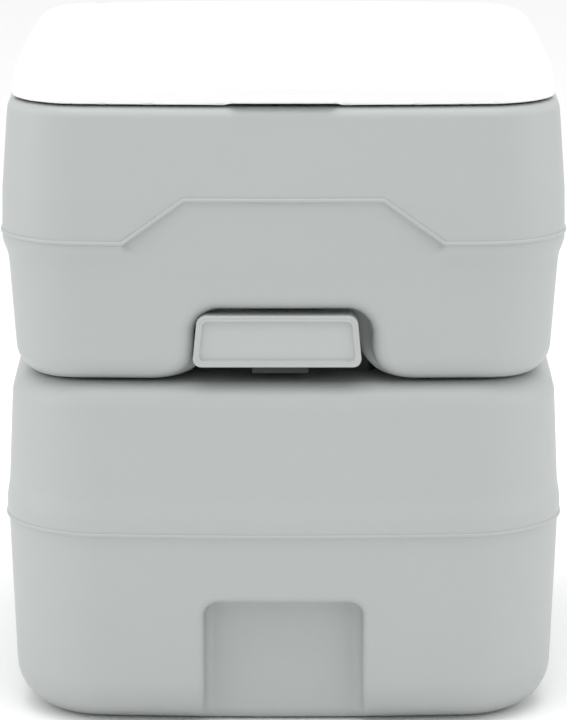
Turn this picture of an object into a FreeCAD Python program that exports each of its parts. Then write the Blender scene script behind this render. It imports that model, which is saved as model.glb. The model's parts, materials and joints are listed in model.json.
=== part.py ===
"""Portable camp toilet: a waste tank, a flush-water tank with the bowl moulded in, a seat and a lid.

Both tanks are blow-moulded and hollow. The slide valve, the pour-out spout and the vent button belong to the
waste tank. The pump, the filler cap, the hinges and the side latches belong to the flush tank, which
lifts off.

Millimetres. +Z is up, the front is at -Y, and the origin is on the floor at the middle of the outline.
"""

import FreeCAD
import Part
import math
import os

V = FreeCAD.Vector
X_AXIS = V(1, 0, 0)
Y_AXIS = V(0, 1, 0)
Z_AXIS = V(0, 0, 1)

# Driving sizes
WIDTH = 365.0
DEPTH = 415.0
SEAM_RIDGE = 0.6  # the parting line stands this far out of the wall
WALL = 3.5  # wall of the blow-moulded tanks
BODY_GAP = 0.3  # between bodies that rest on each other
RUNNING = 0.06  # radial clearance of a pin in a knuckle

# Waste tank
LOWER_TOP = 226.0
LOWER_SEAM = 129.0
LOWER_FOOT_R = 30.0
LOWER_TOP_R = 16.0
DROP_R = 46.0  # the hole under the valve
DROP_Y = -8.0
GRIP_HALF = 51.0
GRIP_TOP = 84.0
GRIP_DEPTH = 24.0
GRIP_EDGE_R = 5.0

# Flush tank
UPPER_BOTTOM = LOWER_TOP + BODY_GAP
UPPER_SEAM = 319.0
DECK = 405.0
UPPER_FOOT_R = 18.0
UPPER_TOP_R = 7.0
RECESS_HALF = 58.0  # front recess that the valve handle sits in
RECESS_TOP = 277.0
RECESS_BACK = -174.0
ARCH_X = 1.0  # the arch behind the handle that the valve's stem runs through
ARCH_HALF = 44.5
ARCH_TOP = 270.5
ARCH_CROWN_R = 28.0
ARCH_FLARE = 36.0
ARCH_BACK = -140.0
PANEL_TOP = 347.0  # the parting line steps up to here on the front
PANEL_HALF_TOP = 63.0
PANEL_HALF_FOOT = 102.0
BOWL_Y = -34.0
BOWL_HALF_X = 118.0
BOWL_HALF_Y = 138.0
OUTLET_R = 44.0

# Rear bay between the tanks, for the spout and the vent button
BAY_HALF = 143.0
BAY_FRONT = 129.0
BAY_FLOOR = 190.0
BAY_ROOF = 262.0

# Side latches
LATCH_Y = 20.0
LATCH_HALF = 20.0
LATCH_POCKET_HALF = 30.0
LATCH_POCKET_X = 154.0
LATCH_PIVOT_X = 164.0
LATCH_PIVOT_Z = 264.0
LATCH_AJAR = 6.0  # degrees that the lever stands off its catch
LATCH_PIN_R = 2.0

# Studs on the waste tank that the flush tank drops over
STUD_R = 12.0
STUD_X = 120.0
STUD_YS = (-120.0, 85.0)
STUD_HEIGHT = 5.0

# Slide valve
VALVE_HALF = 60.0
VALVE_FRONT = -150.0
VALVE_BACK = 54.0
VALVE_BASE = 4.5
BLADE = 3.6
BLADE_GAP = 0.2
VALVE_COVER = 4.0
BLADE_Z = LOWER_TOP + VALVE_BASE + BLADE_GAP
COVER_Z = BLADE_Z + BLADE + BLADE_GAP
SEAL_Z = COVER_Z + VALVE_COVER
SEAL = 4.2
NECK_FOOT = SEAL_Z + SEAL + BODY_GAP
HANDLE_X = -4.0
HANDLE_FRONT = -201.0
HANDLE_DEPTH = 20.0
HANDLE_BACK = HANDLE_FRONT + HANDLE_DEPTH
RISER = 4.0  # the plate on the blade's stem that the handle is screwed to
HANDLE_FOOT = 238.5
HANDLE_TOP = 272.0
HANDLE_HALF_FOOT = 54.0
HANDLE_HALF_TOP = 50.8

# Seat, lid and hinge
HINGE_Y = 137.0
HINGE_Z = DECK + 16.0
HINGE_PIN_R = 3.0
KNUCKLE_R = 6.5
POST_X = (91.0, 103.0)
SEAT_KNUCKLE_X = (78.0, 90.0)
LID_KNUCKLE_X = (104.0, 116.0)
SEAT_FOOT = DECK + 4.0
SEAT_TOP = DECK + 16.0
SEAT_HALF_X = 102.0
SEAT_HALF_Y = 126.0
SEAT_WALL = 3.4
LID_FOOT = DECK + 1.2
LID_TOP = 434.0
LID_WALL = 3.0
LID_DOME_R = 5800.0
LID_EDGE_R = 9.0

# Pump and filler, on the deck behind the lid
REAR_Y = 171.0
PUMP_X = -128.0
PUMP_CUP_R = 20.0
PUMP_FLANGE_R = 23.5
PUMP_KNOB_R = 17.0
PUMP_KNOB_TOP = DECK + 18.0
PUMP_CYLINDER_R = 14.0
PUMP_BORE_R = 12.0
PUMP_FOOT = 292.0
HOSE_R = 4.0
HOSE_Z = DECK - 19.0
HOSE_BEND = 40.0
FILL_X = 128.0
FILL_NECK_R = 22.0
FILL_BORE_R = 18.5
FILL_NECK_TOP = DECK + 10.0
FILL_CAP_R = 25.5
FILL_CAP_TOP = DECK + 14.5

# Spout and vent
SPOUT_X = -100.0
SPOUT_Y = 168.0
SPOUT_Z = 224.0
SPOUT_R = 19.0
SPOUT_BORE_R = 16.5
SPOUT_END = 38.0
SPOUT_CAP_R = 25.0
SPOUT_COLLAR_R = 25.0
SPOUT_SOCKET_R = 21.5
VENT_X = 118.0
VENT_Y = 165.0


# Helpers


def box(x0, x1, y0, y1, z0, z1):
    return Part.makeBox(x1 - x0, y1 - y0, z1 - z0, V(x0, y0, z0))


def cylinder(radius, start, length, axis=Z_AXIS):
    return Part.makeCylinder(radius, length, start, axis)


def tube(outer, inner, start, length, axis=Z_AXIS):
    return cylinder(outer, start, length, axis).cut(cylinder(inner, start, length, axis))


def united(shapes):
    return shapes[0].multiFuse(shapes[1:]).removeSplitter()


def edges_where(shape, test):
    return [e for e in shape.Edges if test(e)]


def rim(shape, z):
    """The edges that lie at one height."""
    flat = 0.05
    return edges_where(shape, lambda e: abs(e.BoundBox.ZMin - z) < flat and abs(e.BoundBox.ZMax - z) < flat)


def upright(shape):
    """The edges that run straight up."""
    return edges_where(shape, lambda e: e.BoundBox.XLength < 0.01 and e.BoundBox.YLength < 0.01)


def rounded_box(x0, x1, y0, y1, z0, z1, radius):
    block = box(x0, x1, y0, y1, z0, z1)
    return block.makeFillet(radius, upright(block))


def both_sides(shape):
    """The shape and its mirror image across the middle plane, as one group of solids."""
    return Part.makeCompound([shape, shape.mirror(V(0, 0, 0), X_AXIS)])


def ellipse_wire(half_x, half_y, centre_y, z):
    """An oval. Part.Ellipse wants its longer axis first, and here that is Y."""
    centre = V(0, centre_y, z)
    curve = Part.Ellipse(centre + V(0, half_y, 0), centre + V(-half_x, 0, 0), centre)
    return Part.Wire(curve.toShape())


def spring(radius, wire_r, x, y, z0, z1, turns):
    """A coil spring that stands between two heights."""
    height = z1 - z0 - 2 * wire_r
    path = Part.makeLongHelix(height / turns, height, radius)
    circle = Part.Circle(V(radius, 0, 0), Y_AXIS, wire_r).toShape()
    coil = Part.Wire(path.Edges).makePipeShell([Part.Wire(circle)], True, True)
    coil.translate(V(x, y, z0 + wire_r))
    return coil


def circles_meet(centre_a, radius_a, centre_b, radius_b, near):
    """The point at given distances from two centres, on the side of near."""
    gap = (centre_b - centre_a).Length
    along = (radius_a**2 - radius_b**2 + gap**2) / (2 * gap)
    across = math.sqrt(radius_a**2 - along**2)
    u = (centre_b - centre_a).normalize()
    n = V(-u.y, u.x, 0)
    return min([centre_a + u * along + n * s * across for s in (1, -1)], key=lambda p: (p - near).Length)


class Outline:
    """A rounded rectangle with bowed sides, made of eight arcs. Every inset of it is a parallel outline."""

    def __init__(self, half_x, front, back, corner, bow_front, bow_back, bow_side):
        middle = (front + back) / 2
        half_y = (back - front) / 2
        r_front, r_back = self.bow_radius(half_x, bow_front), self.bow_radius(half_x, bow_back)
        r_side = self.bow_radius(half_y, bow_side)
        self.corner = corner
        self.sides = [
            (V(0, front + r_front, 0), r_front),
            (V(half_x - r_side, middle, 0), r_side),
            (V(0, back - r_back, 0), r_back),
            (V(-half_x + r_side, middle, 0), r_side),
        ]
        signs = [(1, -1), (1, 1), (-1, 1), (-1, -1)]
        self.corners = []
        for i, (sx, sy) in enumerate(signs):
            (a, ra), (b, rb) = self.sides[i], self.sides[(i + 1) % 4]
            near = V(sx * (half_x - corner), (back - corner) if sy > 0 else (front + corner), 0)
            self.corners.append(circles_meet(a, ra - corner, b, rb - corner, near))

    @staticmethod
    def bow_radius(half, bow):
        return (half**2 + bow**2) / (2 * bow)

    @staticmethod
    def on_circle(centre, towards, radius):
        return centre + (towards - centre).normalize() * radius

    def wire(self, inset, z):
        up = V(0, 0, z)
        edges = []
        for i, (centre, radius) in enumerate(self.sides):
            corner = self.corners[i]
            following, next_radius = self.sides[(i + 1) % 4]
            start = self.on_circle(centre, self.corners[i - 1], radius - inset)
            end = self.on_circle(centre, corner, radius - inset)
            turned = self.on_circle(following, corner, next_radius - inset)
            middle = self.on_circle(centre, (start + end) * 0.5, radius - inset)
            bend = self.on_circle(corner, (end + turned) * 0.5, self.corner - inset)
            edges.append(Part.Arc(start + up, middle + up, end + up).toShape())
            edges.append(Part.Arc(end + up, bend + up, turned + up).toShape())
        return Part.Wire(edges)

    def solid(self, sections, more=0.0):
        """The solid through (height, inset) sections, with more added to every inset."""
        return Part.makeLoft([self.wire(inset + more, z) for z, inset in sections], True, True)


LOWER = Outline(181.6, -206.5, 206.5, 62, 10, 6, 2.5)
UPPER = Outline(WIDTH / 2 - SEAM_RIDGE, SEAM_RIDGE - DEPTH / 2, DEPTH / 2 - SEAM_RIDGE, 50, 8, 5, 2.5)
SEAT = Outline(169.8, -194.8, 113, 50, 8, 2, 2.5)  # short of the lid's skirt, which swings over its back
LID = Outline(174.3, -199.3, 128, 46, 8, 2, 2.5)

# (height, inset) down the walls of the two tanks: drafted both ways from the parting line
LOWER_WALL = [(0, 6.5), (127, 1.2), (LOWER_SEAM, 0), (140, 0), (152, 1.8), (LOWER_TOP, 5.0)]
UPPER_WALL = [
    (UPPER_BOTTOM, 9.6),
    (296, 4.5),
    (304, 3.6),
    (309.5, 1.5),
    (313, 0.2),
    (UPPER_SEAM, 0),
    (345, 0.4),
    (390, 3.6),
    (DECK, 4.9),
]
PANEL_WALL = [(290, 4.9), (304, 3.7), (352, 0.9)]


def moved_ends(sections, foot, top):
    """The same wall, with its first and last heights replaced."""
    return [(foot, sections[0][1]), *sections[1:-1], (top, sections[-1][1])]


def arch(half, top, top_r, flare, y0, y1, foot):
    """A block with an arch outline seen from the front, its two feet flared outwards."""
    s = math.sqrt(0.5)
    below = foot - 20

    def at(x, z):
        return V(x, y0, z)

    def leg(sign):
        out = half + flare
        knee = at(sign * half, foot + flare)
        shoulder = at(sign * half, top - top_r)
        crown = at(sign * (half - top_r), top)
        foot_bend = at(sign * (out - flare * s), foot + flare * (1 - s))
        top_bend = at(sign * (half - top_r * (1 - s)), top - top_r * (1 - s))
        return [
            Part.LineSegment(at(sign * out, below), at(sign * out, foot)),
            Part.Arc(at(sign * out, foot), foot_bend, knee),
            Part.LineSegment(knee, shoulder),
            Part.Arc(shoulder, top_bend, crown),
        ]

    closing = [
        Part.LineSegment(at(-half + top_r, top), at(half - top_r, top)),
        Part.LineSegment(at(-half - flare, below), at(half + flare, below)),
    ]
    curves = [*leg(-1), *leg(1), *closing]
    wire = Part.Wire(Part.__sortEdges__([c.toShape() for c in curves]))
    return Part.Face(wire).extrude(V(0, y1 - y0, 0))


# Features that both a tank's outside and its water space share. grow is the wall around a hollow.


def front_grip(grow=0.0):
    face = -DEPTH / 2 - 20
    back = -DEPTH / 2 + GRIP_DEPTH + grow
    return arch(GRIP_HALF + grow, GRIP_TOP + grow, 9 + grow, 10, face, back, 0)


def rear_grip(grow=0.0):
    return front_grip(grow).mirror(V(0, 0, 0), Y_AXIS)


def rear_bay(z0, z1, grow=0.0):
    half = BAY_HALF + grow
    block = box(-half, half, BAY_FRONT - grow, DEPTH, z0, z1)
    return block.makeFillet(12, [e for e in upright(block) if e.BoundBox.YMax < DEPTH - 1])


def latch_pocket(z0, z1, grow=0.0):
    half = LATCH_POCKET_HALF + grow
    return box(LATCH_POCKET_X - grow, WIDTH, LATCH_Y - half, LATCH_Y + half, z0, z1)


def handle_recess(grow=0.0):
    face = -DEPTH / 2 - 20
    return arch(RECESS_HALF + grow, RECESS_TOP + grow, 14 + grow, 24, face, RECESS_BACK + grow, UPPER_BOTTOM)


def valve_cavity(grow=0.0):
    """The hollow under the flush tank that clears the slide valve, and the way out for its blade and stem."""
    foot = UPPER_BOTTOM - 5
    room = rounded_box(-66 - grow, 66 + grow, -154 - grow, 61 + grow, foot, 252 + grow, 6)
    slot = box(-54 - grow, 54 + grow, RECESS_BACK - 5, -140, foot, 238 + grow)
    stem = arch(ARCH_HALF + grow, ARCH_TOP + grow, ARCH_CROWN_R + grow, ARCH_FLARE,
                RECESS_BACK - 5, ARCH_BACK + grow, UPPER_BOTTOM)
    stem.translate(V(ARCH_X, 0, 0))
    return united([room, slot, stem])


def funnel(grow=0.0, top=DECK):
    """The bowl's inside, from the deck down to its outlet, and the straight neck below."""
    rings = [
        (top, BOWL_HALF_X, BOWL_HALF_Y, BOWL_Y),
        (375, 114, 133, BOWL_Y),
        (335, 98, 112, -31),
        (295, 66, 73, -20),
        (256, 36, 37, DROP_Y),
    ]
    wires = [ellipse_wire(half_x + grow, half_y + grow, y, z) for z, half_x, half_y, y in rings]
    cone = Part.makeLoft(wires, True, False)
    neck = cylinder(OUTLET_R + grow, V(0, DROP_Y, NECK_FOOT - 10), 34)
    return cone.fuse(neck)


def studs(z0, z1, grow=0.0):
    pegs = [cylinder(STUD_R + grow, V(x, y, z0), z1 - z0) for x in (-STUD_X, STUD_X) for y in STUD_YS]
    return united(pegs)


# Waste tank and what is fixed to it


def waste_tank():
    body = LOWER.solid(LOWER_WALL)
    body = body.makeFillet(LOWER_FOOT_R, rim(body, 0))
    body = body.makeFillet(LOWER_TOP_R, rim(body, LOWER_TOP))
    for grip, side in ((front_grip(), -1), (rear_grip(), 1)):
        body = body.cut(grip)
        inner_y = DEPTH / 2 - GRIP_DEPTH
        lip = edges_where(body, lambda e: is_grip_lip(e, side, inner_y))
        body = body.makeFillet(GRIP_EDGE_R, lip)
    body = body.cut(rear_bay(BAY_FLOOR, LOWER_TOP + 10))
    pocket = latch_pocket(LATCH_PIVOT_Z - 76, LOWER_TOP + 10)
    body = body.cut(pocket).cut(pocket.mirror(V(0, 0, 0), X_AXIS))
    ridge = LOWER.solid([(LOWER_SEAM - 1.5, -0.5), (LOWER_SEAM + 1, -0.5)])
    body = body.fuse(ridge)

    space = LOWER.solid(moved_ends(LOWER_WALL, WALL, LOWER_TOP - WALL), WALL)
    space = space.makeFillet(LOWER_FOOT_R - WALL, rim(space, WALL))
    space = space.makeFillet(LOWER_TOP_R - WALL, rim(space, LOWER_TOP - WALL))
    space = space.cut(front_grip(WALL)).cut(rear_grip(WALL))
    space = space.cut(rear_bay(BAY_FLOOR - WALL, LOWER_TOP + 10, WALL))
    pocket = latch_pocket(LATCH_PIVOT_Z - 76 - WALL, LOWER_TOP + 10, WALL)
    space = space.cut(pocket).cut(pocket.mirror(V(0, 0, 0), X_AXIS))
    body = body.cut(space)

    body = body.cut(cylinder(DROP_R, V(0, DROP_Y, LOWER_TOP - 10), 20))
    for x, y in valve_screw_places():
        body = body.cut(cylinder(1.6, V(x, y, LOWER_TOP - 3), 5))
    collar = cylinder(SPOUT_COLLAR_R, V(SPOUT_X, SPOUT_Y, BAY_FLOOR - WALL), 10 + WALL)
    socket = cylinder(SPOUT_SOCKET_R, V(SPOUT_X, SPOUT_Y, BAY_FLOOR - 10), 30)
    catch = box(LATCH_POCKET_X - 1, 160, LATCH_Y - 18, LATCH_Y + 18, 205, 212)
    pegs = studs(LOWER_TOP - 1, LOWER_TOP + STUD_HEIGHT)
    pegs = pegs.makeFillet(2, rim(pegs, LOWER_TOP + STUD_HEIGHT))
    body = united([body, collar, catch, catch.mirror(V(0, 0, 0), X_AXIS), pegs])
    return body.cut(socket).cut(cylinder(8, V(VENT_X, VENT_Y, BAY_FLOOR - 10), 20))


def is_grip_lip(edge, side, inner_y):
    """True for the edges where a grip's walls meet the tank's outside."""
    b = edge.BoundBox
    reach = b.YMin * side if side > 0 else -b.YMax
    middle = edge.CenterOfMass.y * side
    at_wall = reach > inner_y + 1 and middle > inner_y + 3
    return at_wall and abs(b.XMin) < 64 and abs(b.XMax) < 64 and b.ZMax < GRIP_TOP + 2


def valve_screw_places():
    return [(sx * 56.0, y) for sx in (-1, 1) for y in (-142.0, -48.0, 46.0)]


def valve_base():
    plate = rounded_box(-VALVE_HALF, VALVE_HALF, VALVE_FRONT, VALVE_BACK, LOWER_TOP, COVER_Z, 6)
    track = box(-50.4, 50.4, VALVE_FRONT - 1, 45, LOWER_TOP + VALVE_BASE, COVER_Z + 1)
    groove = tube(56.5, 49.5, V(0, DROP_Y, LOWER_TOP - 1), 2.5)
    plate = plate.cut(track).cut(cylinder(DROP_R, V(0, DROP_Y, LOWER_TOP - 1), 20)).cut(groove)
    return cut_screw_holes(plate)


def valve_cover():
    plate = rounded_box(-VALVE_HALF, VALVE_HALF, VALVE_FRONT, VALVE_BACK, COVER_Z, SEAL_Z, 6)
    stiffeners = [box(-40, 40, y - 1.5, y + 1.5, SEAL_Z, SEAL_Z + 3) for y in (-130.0, -108.0, -86.0)]
    plate = united([plate, *stiffeners])
    return cut_screw_holes(plate.cut(cylinder(45, V(0, DROP_Y, COVER_Z - 1), 20)))


def cut_screw_holes(plate):
    for x, y in valve_screw_places():
        plate = plate.cut(cylinder(1.8, V(x, y, LOWER_TOP - 1), 20))
    return plate


def valve_screws():
    screws = []
    for x, y in valve_screw_places():
        shank = cylinder(1.6, V(x, y, LOWER_TOP - 3), SEAL_Z - LOWER_TOP + 3)
        head = cylinder(3.4, V(x, y, SEAL_Z), 2.2)
        cross = united([box(x - 2, x + 2, y - 0.4, y + 0.4, SEAL_Z + 1.2, SEAL_Z + 3),
                        box(x - 0.4, x + 0.4, y - 2, y + 2, SEAL_Z + 1.2, SEAL_Z + 3)])
        screws.append(shank.fuse(head).cut(cross))
    return Part.makeCompound(screws)


def valve_gasket():
    return tube(56.5, 49.5, V(0, DROP_Y, LOWER_TOP), 1.5)


def valve_seal():
    ring = tube(52, 44.5, V(0, DROP_Y, SEAL_Z), SEAL)
    return ring.makeChamfer(1.2, rim(ring, SEAL_Z + SEAL))


def valve_blade():
    blade = rounded_box(-50, 50, DROP_Y - 52, DROP_Y + 52, BLADE_Z, BLADE_Z + BLADE, 10)
    stem = box(-20, 16, HANDLE_BACK, DROP_Y - 48, BLADE_Z, BLADE_Z + BLADE)
    riser = box(HANDLE_X - 16, HANDLE_X + 16, HANDLE_BACK, HANDLE_BACK + RISER, BLADE_Z, HANDLE_TOP - 6)
    riser_back = HANDLE_BACK + RISER
    ribs = [box(x - 1.5, x + 1.5, riser_back - 0.5, -162, BLADE_Z + 1, BLADE_Z + 16) for x in (-14.0, 6.0)]
    ribs = [r.cut(ramp(r)) for r in ribs]
    body = united([blade, stem, riser, *ribs])
    for z in handle_screw_heights():
        body = body.cut(cylinder(1.7, V(HANDLE_X, HANDLE_BACK - 1, z), 8, Y_AXIS))
    return body


def ramp(rib):
    """The slice that turns a square rib into a sloping one."""
    b = rib.BoundBox
    corners = [V(b.XMin, b.YMin, b.ZMax), V(b.XMin, b.YMax, b.ZMax), V(b.XMin, b.YMax, b.ZMin + 3)]
    wedge = Part.Face(Part.makePolygon([*corners, corners[0]]))
    return wedge.extrude(V(b.XLength, 0, 0))


def handle_screw_heights():
    return (248.0, 262.0)


def trapezoid(inset, y, radius):
    """The handle's face outline at one depth, drawn from the front."""
    half_foot, half_top = HANDLE_HALF_FOOT - inset, HANDLE_HALF_TOP - inset
    foot, top = HANDLE_FOOT + inset, HANDLE_TOP - inset
    places = [(-half_foot, foot), (half_foot, foot), (half_top, top), (-half_top, top)]
    points = [V(HANDLE_X + x, y, z) for x, z in places]
    block = Part.Face(Part.makePolygon([*points, points[0]])).extrude(V(0, HANDLE_DEPTH, 0))
    long = edges_where(block, lambda e: e.BoundBox.YLength > HANDLE_DEPTH - 0.1)
    return block.makeFillet(radius, long)


def valve_handle():
    shell = trapezoid(0, HANDLE_FRONT, 6)
    front = edges_where(shell, lambda e: e.BoundBox.YMax < HANDLE_FRONT + 0.1)
    shell = shell.makeFillet(1.2, front)
    panel = trapezoid(3.4, HANDLE_FRONT - HANDLE_DEPTH + 1.4, 3.4)
    hollow = trapezoid(2.6, HANDLE_FRONT + 4.0, 3.6)
    seats = [cylinder(4, V(HANDLE_X, HANDLE_FRONT + 3, z), HANDLE_DEPTH - 3, Y_AXIS)
             for z in handle_screw_heights()]
    shell = united([shell.cut(panel).cut(hollow), *seats])
    for z in handle_screw_heights():
        shell = shell.cut(cylinder(1.5, V(HANDLE_X, HANDLE_BACK - 13, z), 14, Y_AXIS))
    return shell


def handle_screws():
    screws = []
    for z in handle_screw_heights():
        shank = cylinder(1.5, V(HANDLE_X, HANDLE_BACK - 13, z), 13 + RISER, Y_AXIS)
        screws.append(shank.fuse(cylinder(3.2, V(HANDLE_X, HANDLE_BACK + RISER, z), 2, Y_AXIS)))
    return Part.makeCompound(screws)


# Spout and vent


def spout_path(z0, x1):
    """Up out of the tank, round one bend, and along the rear bay."""
    bend = SPOUT_R + 2
    knee = V(SPOUT_X, SPOUT_Y, SPOUT_Z - bend)
    middle = V(SPOUT_X + bend * (1 - math.sqrt(0.5)), SPOUT_Y, SPOUT_Z - bend * (1 - math.sqrt(0.5)))
    level = V(SPOUT_X + bend, SPOUT_Y, SPOUT_Z)
    edges = [
        Part.LineSegment(V(SPOUT_X, SPOUT_Y, z0), knee).toShape(),
        Part.Arc(knee, middle, level).toShape(),
        Part.LineSegment(level, V(x1, SPOUT_Y, SPOUT_Z)).toShape(),
    ]
    return Part.Wire(edges)


def swept(path, radius, start):
    circle = Part.Circle(start, Z_AXIS, radius).toShape()
    return path.makePipeShell([Part.Wire(circle)], True, False)


def spout_elbow():
    foot = BAY_FLOOR - 3
    outer = swept(spout_path(foot, SPOUT_END), SPOUT_R, V(SPOUT_X, SPOUT_Y, foot))
    bore = swept(spout_path(foot - 1, SPOUT_END + 1), SPOUT_BORE_R, V(SPOUT_X, SPOUT_Y, foot - 1))
    flange = cylinder(SPOUT_SOCKET_R - 0.1, V(SPOUT_X, SPOUT_Y, BAY_FLOOR + 6.5), 3.2)
    threads = [tube(20.4, 18, V(x, SPOUT_Y, SPOUT_Z), 2, X_AXIS) for x in (24.0, 29.0, 34.0)]
    return united([outer, flange, *threads]).cut(bore)


def spout_o_ring():
    return Part.makeTorus(20.25, 1.18, V(SPOUT_X, SPOUT_Y, BAY_FLOOR + 1.5), Z_AXIS)


def spout_nut():
    base = V(SPOUT_X, SPOUT_Y, BAY_FLOOR + 1)
    ring = cylinder(28.5, base, 12.5)
    ring = ring.makeFillet(1.2, rim(ring, BAY_FLOOR + 13.5))
    ring = ring.cut(cylinder(SPOUT_COLLAR_R + 0.2, base - V(0, 0, 1), 10.3))
    ring = ring.cut(cylinder(SPOUT_R + 0.3, base, 20))
    return with_ribs(ring, base + V(0, 0, 0.5), 28.5, 10, 24, 0.9, Z_AXIS)


def with_ribs(body, base, radius, height, count, rib_r, axis):
    """Adds evenly spaced grip ribs round a cap or nut."""
    across = X_AXIS if axis != X_AXIS else Z_AXIS
    ribs = []
    for i in range(count):
        out = FreeCAD.Rotation(axis, 360.0 * i / count).multVec(across * radius)
        ribs.append(cylinder(rib_r, base + out, height, axis))
    return united([body, *ribs])


def spout_cap():
    start = V(SPOUT_END - 16, SPOUT_Y, SPOUT_Z)
    cap = cylinder(SPOUT_CAP_R - 1, start, 21, X_AXIS)
    cap = cap.makeFillet(1.5, edges_where(cap, lambda e: e.BoundBox.XMin > SPOUT_END + 4))
    cap = cap.cut(cylinder(20.8, start - V(1, 0, 0), 19.2, X_AXIS))
    return with_ribs(cap, start + V(1, 0, 0), SPOUT_CAP_R - 1, 17, 28, 0.9, X_AXIS)


def spout_cap_gasket():
    return cylinder(20.6, V(SPOUT_END + 0.1, SPOUT_Y, SPOUT_Z), 2, X_AXIS)


def vent_housing():
    base = V(VENT_X, VENT_Y, BAY_FLOOR)
    flange = cylinder(13, base, 3)
    flange = flange.makeFillet(1, rim(flange, BAY_FLOOR + 3))
    body = cylinder(8, base - V(0, 0, 9), 9)
    return flange.fuse(body).cut(cylinder(5 + RUNNING, base - V(0, 0, 10), 20))


def vent_button():
    base = V(VENT_X, VENT_Y, 0)
    head = cylinder(9, base + V(0, 0, BAY_FLOOR + 9), 5)
    head = head.makeFillet(1.5, rim(head, BAY_FLOOR + 14))
    stem = cylinder(5, base + V(0, 0, BAY_FLOOR - 13.5), 23)
    retainer = cylinder(7, base + V(0, 0, BAY_FLOOR - 16), 3)
    return united([head, stem, retainer])


def vent_seal():
    base = V(VENT_X, VENT_Y, BAY_FLOOR - 13)
    return tube(9.5, 5, base, 3.7)


def vent_spring():
    return spring(6.6, 0.5, VENT_X, VENT_Y, BAY_FLOOR + 3.05, BAY_FLOOR + 8.95, 3)


# Flush tank and what is fixed to it


def parting_ridge():
    """The bead along the flush tank's parting line, which steps up over the handle."""
    half = 1.4
    slab = UPPER.solid([(310, -SEAM_RIDGE), (UPPER_SEAM + 1, -SEAM_RIDGE), (352, -0.1)])
    ring = box(-WIDTH, WIDTH, -DEPTH, DEPTH, UPPER_SEAM - half, UPPER_SEAM + half)
    ring = ring.cut(box(-PANEL_HALF_FOOT, PANEL_HALF_FOOT, -DEPTH, -100, 300, 340))
    upper = [(-PANEL_HALF_FOOT, UPPER_SEAM), (-PANEL_HALF_TOP, PANEL_TOP), (PANEL_HALF_TOP, PANEL_TOP),
             (PANEL_HALF_FOOT, UPPER_SEAM)]
    points = [V(x, -DEPTH, z + half) for x, z in upper] + [V(x, -DEPTH, z - half) for x, z in reversed(upper)]
    band = Part.Face(Part.makePolygon([*points, points[0]])).extrude(V(0, DEPTH - 100, 0))
    return slab.common(ring.fuse(band))


def panel_step():
    """What comes off the front below the raised stretch of the parting line."""
    left = [(-PANEL_HALF_FOOT, UPPER_SEAM - 8), (-PANEL_HALF_FOOT, UPPER_SEAM), (-PANEL_HALF_TOP, PANEL_TOP)]
    right = [(-x, z) for x, z in reversed(left)]
    points = [V(x, -DEPTH, z) for x, z in left + right]
    prism = Part.Face(Part.makePolygon([*points, points[0]])).extrude(V(0, DEPTH - 100, 0))
    return prism.cut(UPPER.solid(PANEL_WALL))


def upper_tank():
    """The hollow flush tank, open where the bowl is welded into it."""
    body = UPPER.solid(UPPER_WALL)
    body = body.makeFillet(UPPER_FOOT_R, rim(body, UPPER_BOTTOM))
    body = body.makeFillet(UPPER_TOP_R, rim(body, DECK))
    body = body.cut(panel_step()).fuse(parting_ridge())
    body = body.cut(handle_recess())
    body = body.cut(valve_cavity()).cut(rear_bay(UPPER_BOTTOM - 5, BAY_ROOF))
    body = body.cut(studs(UPPER_BOTTOM - 5, UPPER_BOTTOM + STUD_HEIGHT, 0.6))
    pocket = latch_pocket(UPPER_BOTTOM - 5, LATCH_PIVOT_Z + 11)
    body = body.cut(pocket).cut(pocket.mirror(V(0, 0, 0), X_AXIS))
    filler = cylinder(FILL_NECK_R, V(FILL_X, REAR_Y, DECK - 1), FILL_NECK_TOP - DECK + 1)
    body = body.fuse(filler)

    body = body.cut(water_space())
    body = body.cut(funnel(WALL)).cut(cylinder(FILL_BORE_R, V(FILL_X, REAR_Y, DECK - 10), 40))
    body = body.cut(cylinder(PUMP_CUP_R + 0.1, V(PUMP_X, REAR_Y, DECK - 10), 20))
    for x, y in hinge_screw_places():
        body = body.cut(cylinder(1.6, V(x, y, DECK - 3), 5))
    pin = latch_pin(LATCH_PIN_R)
    return body.cut(pin).cut(pin.mirror(V(0, 0, 0), X_AXIS))


def water_space():
    space = UPPER.solid(moved_ends(UPPER_WALL, UPPER_BOTTOM + WALL, DECK - WALL), WALL)
    space = space.makeFillet(UPPER_FOOT_R - WALL, rim(space, UPPER_BOTTOM + WALL))
    space = space.makeFillet(UPPER_TOP_R - WALL, rim(space, DECK - WALL))
    front = box(-PANEL_HALF_FOOT - 4, PANEL_HALF_FOOT + 4, -DEPTH, -100, 280, 352)
    space = space.cut(front.cut(UPPER.solid(PANEL_WALL, WALL)))
    space = space.cut(handle_recess(WALL)).cut(valve_cavity(WALL))
    space = space.cut(rear_bay(UPPER_BOTTOM - 5, BAY_ROOF + WALL, WALL))
    space = space.cut(studs(UPPER_BOTTOM, UPPER_BOTTOM + STUD_HEIGHT + WALL, WALL))
    pocket = latch_pocket(UPPER_BOTTOM - 5, LATCH_PIVOT_Z + 11 + WALL, WALL)
    return space.cut(pocket).cut(pocket.mirror(V(0, 0, 0), X_AXIS))


def bowl():
    """The funnel that hangs in the flush tank, down to the neck that rests over the valve's seal."""
    body = funnel(WALL).cut(box(-60, 60, -70, 60, NECK_FOOT - 20, NECK_FOOT))
    return body.cut(funnel(0, DECK + 1)).cut(nozzle_hole())


def nozzle_hole():
    return cylinder(4.5, V(0, 92, HOSE_Z), 30, Y_AXIS)


def flush_nozzle():
    body = cylinder(4.5, V(0, 92, HOSE_Z), 22, Y_AXIS)
    barb = cylinder(2.6, V(0, 114, HOSE_Z), 9, Y_AXIS)
    hood = rounded_hood()
    bore = cylinder(1.6, V(0, 88, HOSE_Z), 40, Y_AXIS)
    return united([body, barb, hood]).cut(bore)


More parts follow.
